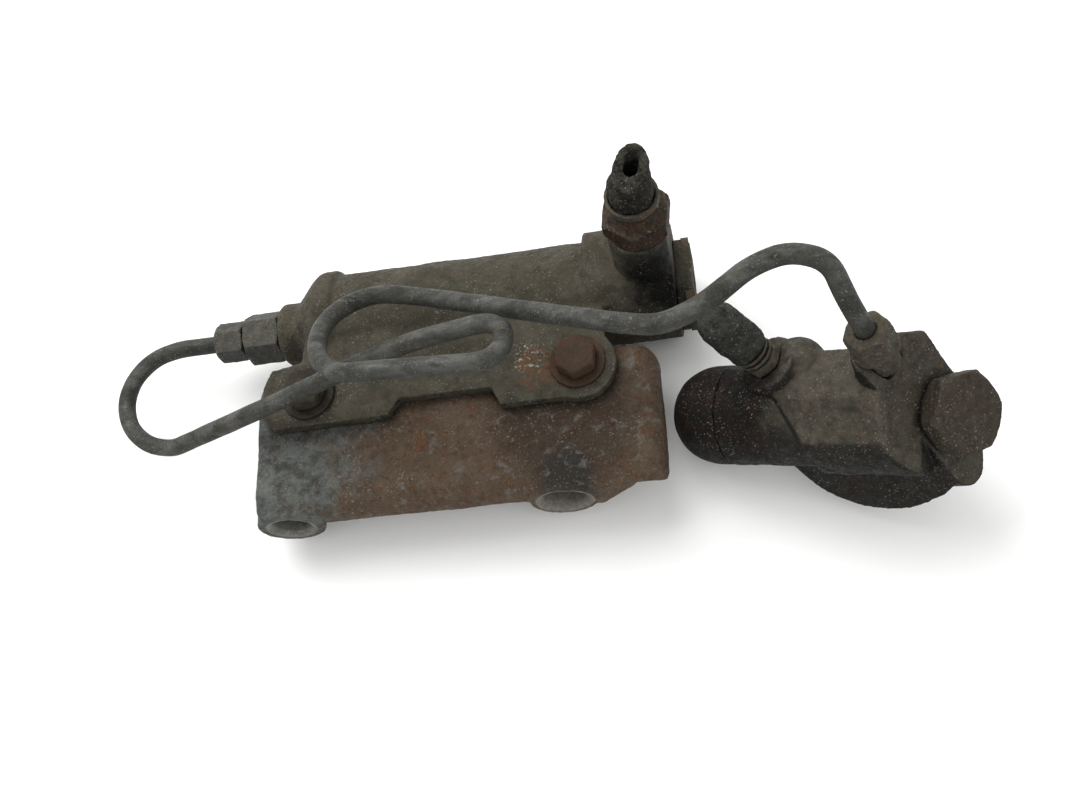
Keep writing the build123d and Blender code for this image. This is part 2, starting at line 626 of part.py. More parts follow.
def slave_boot():
    """Domed dust boot whose lip sits in the groove at the open end of the barrel."""
    inner = SLAVE_R - BOOT_WALL
    half = sqrt(0.5)
    outline = [
        ThreePointArc((-SLAVE_R, 0), (-SLAVE_R * half, SLAVE_R * half), (0, SLAVE_R)),
        Polyline(
            (0, SLAVE_R),
            (BOOT_LIP, SLAVE_R),
            (BOOT_LIP, SLAVE_R - LIP_WALL),
            (0, SLAVE_R - LIP_WALL),
            (0, inner),
        ),
        ThreePointArc((0, inner), (-inner * half, inner * half), (-inner, 0)),
        Line((-inner, 0), (-SLAVE_R, 0)),
    ]
    return revolve(Plane.XY * make_face(outline), Axis.X)


def end_plug():
    """Hex plug in the flange face."""
    seat = along(FACE_CENTRE, FACE_N, RING_THICK)
    top = along(FACE_CENTRE, FACE_N, RING_THICK + PLUG_HEAD)
    # one corner of the head points along the lower ear
    spin = FACE_V * cos(radians(2)) + FACE_N.cross(FACE_V) * sin(radians(2))
    piece = hex_prism(PLUG_AF, seat, top, spin)
    piece += rod(PLUG_R, along(FACE_CENTRE, FACE_N, -PLUG_THREAD), along(FACE_CENTRE, FACE_N, 3))
    return one_solid(piece)


def plug_seal_ring():
    """Sealing ring under the plug's head."""
    return tube(RING_R, PLUG_R, FACE_CENTRE, along(FACE_CENTRE, FACE_N, RING_THICK))


def slave_tube_nut():
    """Tube nut of the pipe at the slave cylinder."""
    x, y, z = PORT_X, PORT_Y, PORT_TOP
    piece = hex_prism(NUT_AF, (x, y, z + 2.0), (x, y, z + 10.5), (0.8, -0.6, 0))
    piece += rod(THREAD_R, (x, y, z - 8), (x, y, z + 3))
    piece += rod(7.2, (x, y, z + 0.2), (x, y, z + 2.1))
    piece -= rod(PIPE_R, (x, y, z + 4.49), (x, y, z + 20))
    piece -= rod(PIPE_BORE_R, (x, y, z - 9), (x, y, z + 20))
    return one_solid(piece)


def bleed_point(height):
    """A point of the bleed screw's axis, at a height above its base."""
    return along(BLEED_BASE, bleed_axis, height)


def bleed_screw():
    """Bleed screw with a hex, two collars, a cross hole and a nipple."""
    piece = rod(THREAD_R - 1, bleed_point(-6), bleed_point(1))
    piece += hex_prism(11.0, bleed_point(0.4), bleed_point(4.2), (0, 1, 0))
    piece += rod(4.6, bleed_point(4.0), bleed_point(9.0))
    for height in (5.0, 7.2):
        piece += rod(6.0, bleed_point(height), bleed_point(height + 1.2))
    piece += rod(3.2, bleed_point(8.8), bleed_point(17.0)) + rod(4.1, bleed_point(13.0), bleed_point(15.0))
    piece -= rod(1.0, bleed_point(-7), bleed_point(18))
    return one_solid(piece)


def bleed_cap():
    """Rubber dust cap over the nipple of the bleed screw."""
    piece = rod(6.8, bleed_point(9.4), bleed_point(24.0)) + at_sphere(bleed_point(24.0), 6.8)
    piece -= rod(4.4, bleed_point(9.0), bleed_point(19.0))
    return one_solid(piece)


def at_sphere(centre, radius):
    """A ball at a point."""
    return Pos(centre.X, centre.Y, centre.Z) * Sphere(radius)


SLAVE_PISTON_LEFT = 11.8


def slave_piston():
    """Piston with a nose that pushes towards the domed end."""
    left = SLAVE_PISTON_LEFT
    piston = rod(SLAVE_BORE_R - PISTON_GAP, (left, 0, 0), (left + 16, 0, 0))
    piston -= tube(SLAVE_BORE_R + 1, 10.2, (left + 5, 0, 0), (left + 8.5, 0, 0))
    piston += rod(6.0, (0.5, 0, 0), (left + 1, 0, 0))
    return one_solid(piston)


def slave_piston_seal():
    """Ring seal in the piston's groove."""
    left = SLAVE_PISTON_LEFT
    return tube(SLAVE_BORE_R - PISTON_GAP, 10.2, (left + 5.2, 0, 0), (left + 8.3, 0, 0))


def slave_cup_seal():
    """Cup seal behind the piston, on the pressure side."""
    left = SLAVE_PISTON_LEFT + 16
    cup = rod(SLAVE_BORE_R - PISTON_GAP, (left, 0, 0), (left + 6, 0, 0))
    cup -= cone(9.0, 10.8, (left + 2.5, 0, 0), (left + 7, 0, 0))
    return one_solid(cup)


def slave_spring():
    """Light spring that keeps the cup seal against the piston."""
    start = SLAVE_PISTON_LEFT + 18.8
    spring = coil_spring(7.0, 0.8, SLAVE_BORE_END - 0.3 - start, 5)
    return Plane(origin=(start, 0, 0), z_dir=(1, 0, 0)) * spring


# ---------------------------------------------------------------- assembly
feed_makers = [
    bracket, feed_casting, end_plate, end_plate_screws, flange_bolts, flange_washers, outlet_adapter,
    outlet_tube_nut, inlet_adapter, inlet_seal_washer, hose_ferrule, feed_hose_stub, feed_piston,
    feed_primary_cup, feed_secondary_seal, feed_spring_seat, feed_return_spring, feed_stop_washer,
    feed_circlip, pressure_pipe,
]
slave_makers = [
    slave_casting, slave_boot, end_plug, plug_seal_ring, slave_tube_nut, bleed_screw, bleed_cap,
    slave_piston, slave_piston_seal, slave_cup_seal, slave_spring,
]
node_names = {
    "bracket": "mounting_bracket",
    "feed_casting": "feed_cylinder_body",
    "slave_casting": "slave_body",
}

def placed(shape, place):
    """A piece in the row's frame, each of its solids moved on its own."""
    solids = [place * solid for solid in shape.solids()]
    return solids[0] if len(solids) == 1 else Compound(children=solids)


for maker in feed_makers:
    pieces[node_names.get(maker.__name__, maker.__name__)] = placed(maker(), to_row)
for maker in slave_makers:
    to_slave = to_row * slave_plane.location
    pieces[node_names.get(maker.__name__, maker.__name__)] = placed(maker(), to_slave)

os.makedirs("parts", exist_ok=True)
for name, piece in pieces.items():
    export_step(piece, f"parts/{name}.step")
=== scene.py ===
"""Looks of the hydraulic actuation set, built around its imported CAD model.

Lengths are in metres, in the row's frame, unless a name ends in _mm.
"""

import json
import math

import bpy
import numpy as np
from mathutils import Matrix, Vector, noise

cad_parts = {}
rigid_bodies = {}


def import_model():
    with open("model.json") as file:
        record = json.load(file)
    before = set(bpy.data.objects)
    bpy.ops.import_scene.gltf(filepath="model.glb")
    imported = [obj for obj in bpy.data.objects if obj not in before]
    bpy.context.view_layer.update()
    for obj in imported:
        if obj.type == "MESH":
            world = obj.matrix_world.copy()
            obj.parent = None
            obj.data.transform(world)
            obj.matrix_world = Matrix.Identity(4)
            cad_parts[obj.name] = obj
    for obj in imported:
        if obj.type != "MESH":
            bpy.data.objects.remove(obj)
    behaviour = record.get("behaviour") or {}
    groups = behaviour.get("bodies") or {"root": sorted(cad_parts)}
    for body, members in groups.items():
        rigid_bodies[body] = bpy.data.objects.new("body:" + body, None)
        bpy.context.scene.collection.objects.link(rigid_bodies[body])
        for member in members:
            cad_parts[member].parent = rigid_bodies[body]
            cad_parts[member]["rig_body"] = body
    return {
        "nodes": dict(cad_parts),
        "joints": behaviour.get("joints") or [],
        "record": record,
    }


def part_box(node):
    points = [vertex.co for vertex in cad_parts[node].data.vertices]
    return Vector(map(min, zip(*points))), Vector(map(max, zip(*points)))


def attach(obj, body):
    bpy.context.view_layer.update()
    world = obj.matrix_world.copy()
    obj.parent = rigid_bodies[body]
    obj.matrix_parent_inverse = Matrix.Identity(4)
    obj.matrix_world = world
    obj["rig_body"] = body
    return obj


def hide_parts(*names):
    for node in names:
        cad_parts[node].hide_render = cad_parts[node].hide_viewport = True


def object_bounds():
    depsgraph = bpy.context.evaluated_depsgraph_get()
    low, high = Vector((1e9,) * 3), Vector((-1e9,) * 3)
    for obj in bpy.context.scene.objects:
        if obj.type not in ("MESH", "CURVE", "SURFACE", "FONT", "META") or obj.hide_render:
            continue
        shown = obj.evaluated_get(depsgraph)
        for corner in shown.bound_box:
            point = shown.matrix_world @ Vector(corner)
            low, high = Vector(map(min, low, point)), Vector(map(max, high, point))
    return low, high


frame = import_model()
cad_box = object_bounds()
nodes = frame["nodes"]
joints = {joint["name"]: joint for joint in frame["joints"]}
MM = 0.001


# ---------------------------------------------------------------- colours
def srgb(red, green, blue):
    """A linear colour from one given on a 0-255 scale."""
    linear = [((c / 255 + 0.055) / 1.055) ** 2.4 if c > 10 else c / 255 / 12.92 for c in (red, green, blue)]
    return (*linear, 1.0)


BLUE_GREY = srgb(116, 121, 117)
PALE_GREY = srgb(136, 136, 130)
OLIVE_GREY = srgb(90, 86, 73)
DARK_OLIVE = srgb(52, 49, 40)
# Dark colour for hollows: grime, and painted shade where shade falls.
GRIME_AND_CREASE_SHADE = srgb(24, 22, 18)
RUST = srgb(104, 87, 71)
DEEP_RUST = srgb(74, 46, 32)
ORANGE_RUST = srgb(116, 84, 60)
KHAKI_DUST = srgb(132, 124, 106)
CHALK = srgb(200, 196, 184)
BARE_STEEL = srgb(176, 172, 160)
RUBBER = srgb(38, 38, 35)
BLACK = srgb(9, 8, 7)
DEPTH_OF_TONE = 0.5  # colours are given as they look, and the light is stronger than 1


# ---------------------------------------------------------------- materials
class Shader:
    """A Principled material whose colour, roughness and bump are built from procedural nodes."""

    def __init__(self, name):
        self.material = bpy.data.materials.new(name)
        self.material.use_nodes = True
        self.tree = self.material.node_tree
        self.surface = self.tree.nodes["Principled BSDF"]
        where = self.node("ShaderNodeTexCoord")
        self.place = where.outputs["Object"]
        self.normal = where.outputs["Normal"]

    def node(self, kind, **settings):
        made = self.tree.nodes.new(kind)
        for key, value in settings.items():
            setattr(made, key, value)
        return made

    def put(self, socket, value):
        """Sets a socket to a plain value, or links it to another node's output."""
        if isinstance(value, bpy.types.NodeSocket):
            self.tree.links.new(value, socket)
        else:
            socket.default_value = value

    def calc(self, operation, first, second=0.0, clamp=False):
        made = self.node("ShaderNodeMath", operation=operation, use_clamp=clamp)
        self.put(made.inputs[0], first)
        self.put(made.inputs[1], second)
        return made.outputs[0]

    def shifted(self, offset, stretch):
        mapping = self.node("ShaderNodeMapping")
        self.put(mapping.inputs["Vector"], self.place)
        mapping.inputs["Location"].default_value = (offset, offset * 0.7, offset * 1.3)
        mapping.inputs["Scale"].default_value = stretch
        return mapping.outputs["Vector"]

    def noise(self, size_mm, detail=4.0, rough=0.6, offset=0.0, stretch=(1, 1, 1), distort=0.0):
        """Noise around 0.5 whose features are about size_mm across."""
        made = self.node("ShaderNodeTexNoise")
        self.put(made.inputs["Vector"], self.shifted(offset, stretch))
        made.inputs["Scale"].default_value = 1 / (size_mm * MM)
        made.inputs["Detail"].default_value = detail
        made.inputs["Roughness"].default_value = rough
        made.inputs["Distortion"].default_value = distort
        return made.outputs["Fac"]

    def cells(self, size_mm, offset=0.0):
        """Distance from the middle of cells about size_mm across."""
        made = self.node("ShaderNodeTexVoronoi")
        self.put(made.inputs["Vector"], self.shifted(offset, (1, 1, 1)))
        made.inputs["Scale"].default_value = 1 / (size_mm * MM)
        return made.outputs["Distance"]

    def step(self, value, low, high):
        """0 below low and 1 above high, smooth between them; low may be the larger."""
        made = self.node("ShaderNodeMapRange", interpolation_type="SMOOTHSTEP")
        self.put(made.inputs["Value"], value)
        made.inputs["From Min"].default_value = min(low, high)
        made.inputs["From Max"].default_value = max(low, high)
        made.inputs["To Min"].default_value = 0.0 if low < high else 1.0
        made.inputs["To Max"].default_value = 1.0 if low < high else 0.0
        return made.outputs["Result"]

    def axis(self, letter):
        """One coordinate of the point, in metres."""
        made = self.node("ShaderNodeSeparateXYZ")
        self.put(made.inputs[0], self.place)
        return made.outputs[letter]

    def patches(self, size_mm, cover, soft=0.06, offset=0.0, detail=5.0, stretch=(1, 1, 1)):
        """A mask of ragged patches that cover about that share of the surface."""
        level = 0.5 + (0.5 - cover) * 0.42
        field = self.noise(size_mm, detail, 0.62, offset, stretch, 0.4)
        return self.step(field, level - soft, level + soft)

    def both(self, first, second):
        return self.calc("MULTIPLY", first, second)

    def near(self, point, reach_mm, ragged_mm=2.0, ragged=0.35):
        """A mask of what is within reach of a point, with a ragged edge."""
        gap = self.node("ShaderNodeVectorMath", operation="DISTANCE")
        self.put(gap.inputs[0], self.place)
        gap.inputs[1].default_value = point
        wobble = self.calc("MULTIPLY_ADD", self.noise(ragged_mm, 5.0), 2 * ragged * reach_mm * MM)
        wobble.node.inputs[2].default_value = -ragged * reach_mm * MM
        edge = self.calc("ADD", gap.outputs["Value"], wobble)
        return self.step(edge, reach_mm * MM, reach_mm * MM * 0.55)

    def round_line(self, point, reach_mm):
        """A mask of what is within reach of the line along Y through a point."""
        flat = self.node("ShaderNodeVectorMath", operation="MULTIPLY")
        self.put(flat.inputs[0], self.place)
        flat.inputs[1].default_value = (1, 0, 1)
        gap = self.node("ShaderNodeVectorMath", operation="DISTANCE")
        self.put(gap.inputs[0], flat.outputs[0])
        gap.inputs[1].default_value = (point[0], 0, point[2])
        return self.step(gap.outputs["Value"], reach_mm * MM, (reach_mm - 0.8) * MM)

    def sandy(self, colour, amount=0.5):
        """Fine pale grit that lies in uneven patches."""
        grit = self.step(self.noise(0.7, 2.0, 0.5, 12.0), 0.6, 0.7)
        where = self.patches(11, 0.45, 0.25, 13.0)
        return self.mix(self.both(self.both(grit, where), amount), colour, CHALK)

    def upward(self, low=0.3, high=0.95):
        """A mask of what faces up: where dust lies, and where painted light and shade are put."""
        made = self.node("ShaderNodeSeparateXYZ")
        self.put(made.inputs[0], self.normal)
        return self.step(made.outputs["Z"], low, high)

    def edges(self, low=0.52, high=0.58):
        """A mask of convex edges."""
        made = self.node("ShaderNodeNewGeometry")
        return self.step(made.outputs["Pointiness"], low, high)

    def crease_shade_and_grime(self, reach_mm=5.0, low=0.75, high=0.35):
        """A mask of corners and hollows from ambient occlusion, where painted shade and grime are put."""
        made = self.node("ShaderNodeAmbientOcclusion", samples=6, only_local=False)
        made.inputs["Distance"].default_value = reach_mm * MM
        return self.step(made.outputs["AO"], low, high)

    def mix(self, factor, first, second):
        made = self.node("ShaderNodeMix", data_type="RGBA")
        self.put(made.inputs[0], factor)
        self.put(made.inputs[6], first)
        self.put(made.inputs[7], second)
        return made.outputs[2]

    def shade(self, colour, amount_mm=0.5, strength=0.35, offset=5.0):
        """The colour made lighter and darker in fine grain."""
        grain = self.noise(amount_mm, 6.0, 0.7, offset)
        factor = self.node("ShaderNodeMapRange")
        self.put(factor.inputs["Value"], grain)
        factor.inputs["From Min"].default_value = 0.25
        factor.inputs["From Max"].default_value = 0.75
        factor.inputs["To Min"].default_value = (1 - strength) * DEPTH_OF_TONE
        factor.inputs["To Max"].default_value = (1 + strength) * DEPTH_OF_TONE
        made = self.node("ShaderNodeVectorMath", operation="SCALE")
        self.put(made.inputs[0], colour)
        self.put(made.inputs["Scale"], factor.outputs["Result"])
        return made.outputs[0]

    def finish(
        self, colour, roughness, bump_mm, metallic=0.0, coarse_mm=2.5, fine_mm=0.45, pits=0.5, specular=0.15
    ):
        """Plugs the colour in and adds the roughness and the relief."""
        self.put(self.surface.inputs["Base Color"], colour)
        self.surface.inputs["Metallic"].default_value = metallic
        self.surface.inputs["Specular IOR Level"].default_value = specular
        rough = self.node("ShaderNodeMapRange")
        self.put(rough.inputs["Value"], self.noise(coarse_mm, 5.0, 0.6, 9.0))
        rough.inputs["From Min"].default_value = 0.3
        rough.inputs["From Max"].default_value = 0.7
        rough.inputs["To Min"].default_value = roughness[0]
        rough.inputs["To Max"].default_value = roughness[1]
        self.put(self.surface.inputs["Roughness"], rough.outputs["Result"])
        waves = self.noise(coarse_mm, 5.0, 0.65, 2.0)
        grain = self.noise(fine_mm, 4.0, 0.7, 4.0)
        holes = self.step(self.cells(coarse_mm * 0.8, 6.0), 0.3, 0.05)
        height = self.calc("ADD", waves, self.calc("MULTIPLY", grain, 0.5))
        height = self.calc("SUBTRACT", height, self.calc("MULTIPLY", holes, pits * 0.6))
        bump = self.node("ShaderNodeBump")
        bump.inputs["Distance"].default_value = bump_mm * MM
        bump.inputs["Strength"].default_value = 1.0
        self.put(bump.inputs["Height"], height)
        self.put(self.surface.inputs["Normal"], bump.outputs["Normal"])
        return self.material


def middle(node):
    """The middle of a CAD node's box."""
    low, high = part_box(node)
    return (low + high) / 2


mounts = {mount["name"]: mount for mount in frame["record"]["mounts"]}


def boss(name):
    """The middle of a mounting boss's front face, and its hole's radius in mm."""
    mount = mounts[name]
    front = mount["dims"]["length_mm"] / 2 * MM
    return Vector(mount["pos_m"]) + Vector(mount["axis"]) * front, mount["dims"]["r_mm"]


BOSSES = [boss("left_boss_hole"), boss("right_boss_hole")]
RIGHT_BOSS = BOSSES[1][0]
BOLT_LOW, BOLT_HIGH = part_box("flange_bolts")
RIGHT_BOLT = Vector((BOLT_HIGH.x - 7.5 * MM, (BOLT_LOW.y + BOLT_HIGH.y) / 2, BOLT_HIGH.z - 7 * MM))


def bracket_material():
    """Bluish grey to the left, brown rust in the middle and right, dark above the right boss, painted shade
    in hollows and a painted highlight inside the boss holes.
    """
    s = Shader("bracket_iron")
    x = s.axis("X")
    ragged = s.calc("MULTIPLY", s.noise(16, 6.0, 0.6, 1.0), 0.075)
    place = s.calc("ADD", x, ragged)
    slope = s.calc("MULTIPLY", s.axis("Y"), 0.55)
    rusted = s.step(s.calc("SUBTRACT", place, slope), -0.052, -0.022)
    colour = s.mix(s.patches(6, 0.45, 0.12), BLUE_GREY, srgb(84, 86, 82))
    rust = s.mix(s.patches(9, 0.5, 0.10, 2.0), RUST, srgb(112, 96, 80))
    rust = s.mix(s.patches(4, 0.25, 0.06, 4.0), rust, ORANGE_RUST)
    colour = s.mix(rusted, colour, rust)
    dark = s.near(RIGHT_BOSS + Vector((0.004, 0.026, 0.012)), 32, 7.0, 0.25)
    colour = s.mix(s.both(dark, 0.75), colour, srgb(72, 62, 52))
    bluish = s.near(RIGHT_BOSS + Vector((0.003, 0.004, 0.008)), 13, 3.0, 0.3)
    colour = s.mix(s.both(bluish, 0.8), colour, srgb(58, 60, 58))
    colour = s.mix(s.both(s.patches(5, 0.22, 0.07, 7.0), 0.55), colour, PALE_GREY)
    colour = s.mix(s.both(s.patches(2.6, 0.3, 0.1, 14.0), 0.5), colour, DEEP_RUST)
    colour = s.mix(s.both(s.edges(), s.patches(4, 0.6, 0.2, 8.0)), colour, srgb(128, 120, 104))
    # Painted shade and grime in corners and hollows.
    colour = s.mix(s.both(s.crease_shade_and_grime(), 0.7), colour, GRIME_AND_CREASE_SHADE)
    colour = s.sandy(colour)
    # Bare steel on a ring round the front of each boss hole, and a painted highlight on the hole walls.
    for place, hole_r in BOSSES:
        front = s.step(s.axis("Y"), place.y + 1.6 * MM, place.y + 0.8 * MM)
        ring = s.both(s.round_line(place, hole_r + 3.0), front)
        # Painted highlight: the hole walls are made as pale as bare steel.
        inside = s.round_line(place, hole_r + 0.7)
        bright = s.mix(s.patches(2.0, 0.5, 0.2, 6.0), BARE_STEEL, PALE_GREY)
        colour = s.mix(s.both(s.calc("MAXIMUM", ring, inside), 0.75), colour, bright)
    return s.finish(s.shade(colour, 0.7, 0.32), (0.62, 0.95), 0.35, specular=0.12)


def olive_material(name, inlet_shadow_point):
    """Oily olive-grey cast iron with dust and small scuffs, painted shade in hollows and a painted shadow by
    the inlet fitting.
    """
    s = Shader(name)
    colour = s.mix(s.patches(10, 0.5, 0.15), OLIVE_GREY, srgb(66, 62, 50))
    colour = s.mix(s.patches(5, 0.3, 0.08, 2.0), colour, DARK_OLIVE)
    colour = s.mix(s.both(s.patches(7, 0.22, 0.08, 5.0), 0.6), colour, srgb(92, 72, 54))
    colour = s.mix(s.both(s.upward(), 0.35), colour, srgb(98, 92, 76))
    colour = s.mix(s.both(s.edges(), s.patches(4, 0.55, 0.2, 8.0)), colour, srgb(118, 116, 104))
    # Painted shade and grime in corners and hollows.
    colour = s.mix(s.both(s.crease_shade_and_grime(), 0.85), colour, GRIME_AND_CREASE_SHADE)
    # Painted shadow: black in front of and under the inlet fitting.
    colour = s.mix(s.near(inlet_shadow_point, 22, 5.0, 0.3), colour, BLACK)
    crust = s.both(s.near(RIGHT_BOLT - Vector((0.013, 0, 0)), 9, 2.0, 0.5), s.patches(2.2, 0.6, 0.08, 3.0))
    colour = s.mix(crust, colour, ORANGE_RUST)
    by_bolt = s.near(RIGHT_BOLT - Vector((0.016, -0.004, 0)), 7, 1.5, 0.5)
    deposit = s.both(by_bolt, s.patches(1.2, 0.3, 0.05, 9.0))
    colour = s.mix(s.both(deposit, 0.8), colour, CHALK)
    colour = s.sandy(colour)
    return s.finish(s.shade(colour, 0.6, 0.3), (0.5, 0.9), 0.28, specular=0.15)


def pipe_material():
    """Dull grey steel with long pale scuffs and dark stains."""
    s = Shader("pipe_steel")
    colour = s.mix(s.patches(9, 0.5, 0.15), srgb(86, 87, 82), srgb(66, 67, 62))
    scuffs = s.both(s.patches(6, 0.35, 0.15, 2.0, 6.0, (0.4, 1, 1)), s.upward(0.1, 0.8))
    colour = s.mix(s.both(scuffs, 0.45), colour, srgb(150, 151, 146))
    colour = s.mix(s.both(s.patches(5, 0.2, 0.06, 6.0), 0.7), colour, srgb(96, 84, 68))
    # Painted shade and grime in corners and hollows.
    colour = s.mix(s.both(s.crease_shade_and_grime(4.0), 0.7), colour, GRIME_AND_CREASE_SHADE)
    colour = s.sandy(colour)
    return s.finish(s.shade(colour, 0.5, 0.25), (0.42, 0.8), 0.12, metallic=0.25, fine_mm=0.3)


def fitting_material(name, main, second, rust_cover, rust=RUST, dust=0.4):
    """Oxidised steel fitting: two greys, rust patches, bright worn edges and dust."""
    s = Shader(name)
    colour = s.mix(s.patches(3.5, 0.5, 0.12), main, second)
    colour = s.mix(s.patches(3.0, rust_cover, 0.07, 2.0), colour, rust)
    colour = s.mix(s.both(s.edges(0.53, 0.62), s.patches(2.5, 0.6, 0.2, 8.0)), colour, srgb(132, 128, 116))
    colour = s.mix(s.both(s.both(s.upward(), s.patches(2.0, 0.6, 0.2, 4.0)), dust), colour, KHAKI_DUST)
    # Painted shade and grime in corners and hollows.
    colour = s.mix(s.both(s.crease_shade_and_grime(2.5), 0.8), colour, GRIME_AND_CREASE_SHADE)
    colour = s.sandy(colour)
    return s.finish(s.shade(colour, 0.4, 0.3), (0.5, 0.88), 0.16, metallic=0.1, coarse_mm=1.4, fine_mm=0.3)


def bolt_material():
    """Bolts and washers: grey-olive, with crusty orange rust on the right bolt."""
    s = Shader("rusty_bolts")
    colour = s.mix(s.patches(3.5, 0.5, 0.12), srgb(76, 72, 60), srgb(60, 54, 44))
    right = s.step(s.axis("X"), -0.02, 0.0)
    red = s.mix(s.patches(3.0, 0.5, 0.12, 2.0), srgb(84, 68, 54), srgb(96, 66, 48))
    colour = s.mix(s.both(right, 0.8), colour, red)
    colour = s.mix(s.both(s.edges(0.53, 0.62), 0.5), colour, srgb(120, 112, 96))
    # Painted shade and grime in corners and hollows.
    colour = s.mix(s.both(s.crease_shade_and_grime(2.5), 0.8), colour, GRIME_AND_CREASE_SHADE)
    return s.finish(s.shade(colour, 0.4, 0.32), (0.6, 0.95), 0.22, coarse_mm=1.2, fine_mm=0.3)


def slave_material():
    """Very dark red-brown barrel, dusty olive-grey saddle with painted light on top, speckled grey flange
    face, and painted shade below and in hollows.
    """
    s = Shader("slave_iron")
    low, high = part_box("slave_body")
    ragged = s.calc("MULTIPLY", s.noise(8, 5.0, 0.6, 1.0), 0.02)
    x = s.calc("ADD", s.axis("X"), ragged)
    barrel = s.mix(s.patches(8, 0.35, 0.12), srgb(22, 16, 11), srgb(44, 22, 15))
    body = s.mix(s.patches(5, 0.5, 0.12, 2.0), srgb(52, 51, 45), srgb(40, 38, 32))
    body = s.mix(s.both(s.patches(6, 0.25, 0.07, 4.0), 0.7), body, srgb(66, 42, 30))
    colour = s.mix(s.step(x, low.x + 0.026, low.x + 0.036), barrel, body)
    onward = s.step(x, low.x + 0.026, low.x + 0.04)
    # Paler up-facing faces past the barrel: dust, and painted light on the top.
    dusty = s.both(s.both(s.upward(0.5, 0.92), onward), s.patches(4, 0.8, 0.25, 5.0))
    colour = s.mix(s.both(dusty, 0.6), colour, srgb(124, 116, 100))
    # Painted shade: faces that point down are blackened.
    below = s.calc("SUBTRACT", 1.0, s.upward(0.0, 0.75))
    colour = s.mix(s.both(below, 0.8), colour, BLACK)
    # Painted shade, black, and grime in corners and hollows.
    colour = s.mix(s.both(s.crease_shade_and_grime(4.0), 0.8), colour, BLACK)
    colour = s.mix(s.both(s.edges(), s.patches(3, 0.45, 0.15, 8.0)), colour, srgb(98, 94, 84))
    colour = s.sandy(colour)
    return s.finish(s.shade(colour, 0.5, 0.35), (0.45, 0.85), 0.24, specular=0.15)


def rubber_material(name, main, dusty_colour, dust, crack_mm=1.6):
    """Aged rubber: matt, cracked and dusty."""
    s = Shader(name)
    colour = s.mix(s.patches(4, 0.5, 0.15), main, srgb(28, 27, 24))
    dusty = s.patches(2.4, 0.6, 0.2, 4.0)
    colour = s.mix(s.both(s.both(s.upward(-0.2, 0.8), dusty), dust), colour, dusty_colour)
    colour = s.mix(s.both(s.edges(0.53, 0.62), 0.45), colour, srgb(104, 102, 94))
    # Painted shade and grime in corners and hollows.
    colour = s.mix(s.both(s.crease_shade_and_grime(2.5), 0.7), colour, BLACK)
    colour = s.sandy(colour)
    grained = s.shade(colour, 0.35, 0.35)
    return s.finish(grained, (0.7, 0.96), 0.3, coarse_mm=crack_mm, fine_mm=0.25, specular=0.1)


def inner_material(name, main, metallic, roughness):
    """A clean inner piece with faint turning marks."""
    s = Shader(name)
    rings = s.noise(0.5, 2.0, 0.5, 0.0, (12, 0.4, 0.4))
    colour = s.mix(rings, main, srgb(120, 116, 108) if metallic else srgb(46, 44, 42))
    grained = s.shade(colour, 0.5, 0.15)
    return s.finish(grained, roughness, 0.03, metallic=metallic, coarse_mm=1.0, fine_mm=0.3)


# ---------------------------------------------------------------- shapes
def add_piece(name, mesh):
    """A new smooth-shaded object from a mesh."""
    piece = bpy.data.objects.new(name, mesh)
    bpy.context.scene.collection.objects.link(piece)
    for polygon in mesh.polygons:
        polygon.use_smooth = True
    return piece


def coordinates(mesh):
    """The mesh's vertices as an array."""
    found = np.empty(len(mesh.vertices) * 3)
    mesh.vertices.foreach_get("co", found)
    return found.reshape(-1, 3)


def write_coordinates(mesh, places):
    mesh.vertices.foreach_set("co", places.ravel())
    mesh.update()


def remeshed(node, voxel_mm, rounds):
    """A CAD node's shape as an even mesh with softened edges."""
    carrier = bpy.data.objects.new("carrier", nodes[node].data.copy())
    bpy.context.scene.collection.objects.link(carrier)
    remesh = carrier.modifiers.new("remesh", "REMESH")
    remesh.mode = "VOXEL"
    remesh.voxel_size = voxel_mm * MM
    soften = carrier.modifiers.new("soften", "SMOOTH")
    soften.factor = 0.5
    soften.iterations = rounds
    bpy.context.view_layer.update()
    mesh = bpy.data.meshes.new_from_object(carrier.evaluated_get(bpy.context.evaluated_depsgraph_get()))
    bpy.data.objects.remove(carrier)
    return mesh


def relief(places, layers):
    """Noise height at each place; a layer is its size and its height in mm, and an offset."""
    total = np.zeros(len(places))
    for size_mm, height_mm, offset in layers:
        scaled = places / (size_mm * MM) + offset
        total += np.array([noise.noise(Vector(p)) for p in scaled]) * height_mm * MM
    return total


def roughen(mesh, layers, weight=None):
    """Pushes the vertices along their normals by noise."""
    places = coordinates(mesh)
    normals = np.array([v.normal for v in mesh.vertices])
    push = relief(places, layers)
    if weight is not None:
        push *= weight(places)
    write_coordinates(mesh, places + normals * push[:, None])


def away_from_line(point, direction, radius):
    """A weight that is 0 inside a radius round a line, so that a bore keeps its surface."""
    start, along = np.array(point), np.array(Vector(direction).normalized())

    def weight(places):
        offset = places - start
        gap = np.linalg.norm(offset - np.outer(offset @ along, along), axis=1)
        return np.clip((gap - radius) / (1.5 * MM), 0, 1)

    return weight


def weathered_copy(node, name, material, voxel_mm, rounds, layers, weight=None):
    """A remeshed and roughened copy of a CAD node, which stands for it."""
    mesh = remeshed(node, voxel_mm, rounds)
    roughen(mesh, layers, weight)
    piece = add_piece(name, mesh)
    mesh.materials.clear()
    mesh.materials.append(material)
    return stand_for(piece, node)


def stand_for(piece, node):
    """The piece replaces a CAD node, on its body."""
    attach(piece, nodes[node]["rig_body"])
    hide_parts(node)
    return piece


def repaint(node, material):
    """Gives a CAD node that keeps its shape a better material."""
    mesh = nodes[node].data
    mesh.materials.clear()
    mesh.materials.append(material)


